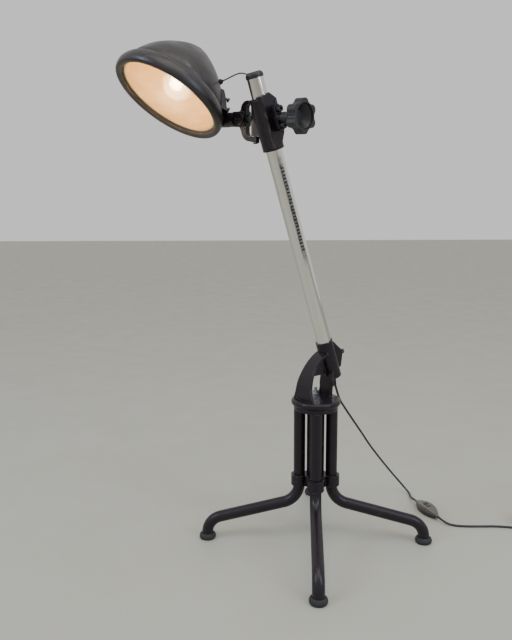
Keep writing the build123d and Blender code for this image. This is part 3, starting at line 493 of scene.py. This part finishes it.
def make_mains_cord():
    """Two lengths, one each side of the inline switch."""
    plug = [NODES[node] for node in ("plug_body", "plug_pins")] + [make_coil_tie()]
    upper = smooth_curve("mains_cord_upper", CORD_TO_SWITCH, CORD_RADIUS)
    lower = smooth_curve("mains_cord_lower", CORD_TO_COIL + coil_points() + CORD_TO_PLUG, CORD_RADIUS)
    for curve in (upper, lower):
        curve.data.materials.append(MATERIALS["cord_pvc"])
        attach(curve, "root")
    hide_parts("cord_to_switch")
    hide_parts("cord_to_coil", "cord_coil", "cord_to_plug")


make_mains_cord()


# ------------------------------------------------------------------ the bulb's bright core

CORE_AHEAD = 6 * MM
CORE_SIDES = 40
# Radius, and distance back from the core's widest ring, in millimetres.
CORE_PROFILE = [
    (0.0, -15), (5.0, -14), (9.5, -11), (12.5, -6), (13.5, 0), (12.5, 6),
    (9.0, 12), (5.0, 17), (3.6, 22), (3.6, 34), (0.0, 34),
]


def make_bulb_core():
    """Glowing inner bulb on a stem, inside the clear glass and clear of it."""
    start = BULB_MIDDLE + BEAM * CORE_AHEAD
    side = BEAM.orthogonal().normalized()
    other = BEAM.cross(side)
    verts, faces = [], []
    for radius, back in CORE_PROFILE:
        for step in range(CORE_SIDES):
            angle = 2 * pi * step / CORE_SIDES
            spread = side * cos(angle) + other * sin(angle)
            verts.append(start - BEAM * (back * MM) + spread * (radius * MM))
    for ring in range(len(CORE_PROFILE) - 1):
        a, b = ring * CORE_SIDES, (ring + 1) * CORE_SIDES
        for step in range(CORE_SIDES):
            after = (step + 1) % CORE_SIDES
            faces.append((a + step, a + after, b + after, b + step))
    mesh = bpy.data.meshes.new("bulb_core")
    mesh.from_pydata(verts, [], faces)
    build = bmesh.new()
    build.from_mesh(mesh)
    bmesh.ops.remove_doubles(build, verts=build.verts, dist=1e-6)
    bmesh.ops.recalc_face_normals(build, faces=build.faces)
    build.to_mesh(mesh)
    build.free()
    mesh.polygons.foreach_set("use_smooth", [True] * len(mesh.polygons))
    mesh.materials.append(glowing("bulb_core", (1.0, 0.86, 0.62), (1.0, 0.80, 0.52), 16.0))
    core = add_object("bulb_core", mesh)
    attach(core, "head")


make_bulb_core()


# ------------------------------------------------------------------ lead to the head

LEAD_RADIUS = 1.4 * MM
LEAD_START = (-135.91, -92.58, 980.67)
LEAD_RISE = (-141.7, -89.17, 984.62)
LEAD_FIRST_JOIN = (-151.5, -74.0, 987.2)
LEAD_MIDDLE = (-160.0, -61.5, 988.0)
LEAD_SECOND_JOIN = (-168.0, -50.0, 986.6)
LEAD_ENTRY = (-180.7, -28.9, 985.2)
# How far the lead's end is inside the corner of its solid's box, in millimetres.
LEAD_END_INSET = (1.6, 1.2, 1.6)
LEAD_RESOLUTION = 24


def lead_piece(name, node, points):
    """A stretch of the lead: a tube mesh made from a curve, in place of its hidden CAD node."""
    curve = smooth_curve(name + "_line", points, LEAD_RADIUS, LEAD_RESOLUTION)
    mesh = bpy.data.meshes.new_from_object(curve)
    bpy.data.objects.remove(curve)
    piece = add_object(name, mesh)
    mesh.materials.clear()
    mesh.materials.append(MATERIALS["lead_pvc"])
    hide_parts(node)
    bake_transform(piece)


def make_lead():
    """Three stretches end to end, one for each joint that the lead crosses."""
    low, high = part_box("lead_on_bail")
    inset_x, inset_y, inset_z = LEAD_END_INSET
    lead_end = (low[0] / MM + inset_x, high[1] / MM - inset_y, low[2] / MM + inset_z)
    by_cap = [LEAD_START, LEAD_RISE, LEAD_FIRST_JOIN]
    by_carriage = [LEAD_FIRST_JOIN, LEAD_MIDDLE, LEAD_SECOND_JOIN]
    by_bail = [LEAD_SECOND_JOIN, LEAD_ENTRY, lead_end]
    lead_piece("lead_by_cap", "lead_from_cap", by_cap)
    lead_piece("lead_by_carriage", "lead_on_carriage", by_carriage)
    lead_piece("lead_by_bail", "lead_on_bail", by_bail)


make_lead()


# ------------------------------------------------------------------ floor and light


def make_floor():
    bpy.ops.mesh.primitive_plane_add(size=24)
    floor = bpy.context.object
    floor.name = "floor"
    paint = Paint("floor_paint", (0.40, 0.40, 0.36), 0.55)
    paint.colour(paint.mix(paint.noise(3, 5), (0.41, 0.40, 0.33), (0.46, 0.452, 0.382)))
    paint.rough(paint.span(paint.noise(9, 5), 0.3, 0.7, 0.42, 0.62))
    floor.data.materials.append(paint.material)


def area_light(name, place, target, size, power, colour):
    """A rectangular soft light aimed at target."""
    data = bpy.data.lights.new(name, "AREA")
    data.shape = "RECTANGLE"
    data.size, data.size_y = size
    data.energy = power
    data.color = colour
    light = add_object(name, data)
    light.location = place
    light.rotation_euler = (Vector(target) - Vector(place)).to_track_quat("-Z", "Y").to_euler()


def make_light():
    """A pale room, a large light above and a bluish window at each side."""
    world = bpy.data.worlds.new("studio")
    world.use_nodes = True
    world.node_tree.nodes["Background"].inputs["Color"].default_value = (0.78, 0.77, 0.77, 1)
    world.node_tree.nodes["Background"].inputs["Strength"].default_value = 1.0
    bpy.context.scene.world = world
    aim = (-0.05, 0.0, 0.6)
    area_light("top_soft", (0.3, -0.9, 3.0), aim, (2.6, 2.0), 34, (1.0, 0.96, 0.92))
    area_light("left_window", (-2.4, -1.2, 2.1), aim, (0.8, 1.6), 34, (0.52, 0.70, 1.0))
    area_light("right_window", (2.2, -1.5, 1.9), aim, (0.7, 1.5), 30, (0.55, 0.72, 1.0))


def make_bulb_light():
    """The lamp's own light, just in front of its glass."""
    data = bpy.data.lights.new("bulb_light", "POINT")
    data.energy = 0.9
    data.color = (1.0, 0.78, 0.50)
    data.shadow_soft_size = 0.03
    light = add_object("bulb_light", data)
    light.location = GLASS_MIDDLE + BEAM * BULB_LIGHT_AHEAD


make_floor()
make_light()
make_bulb_light()
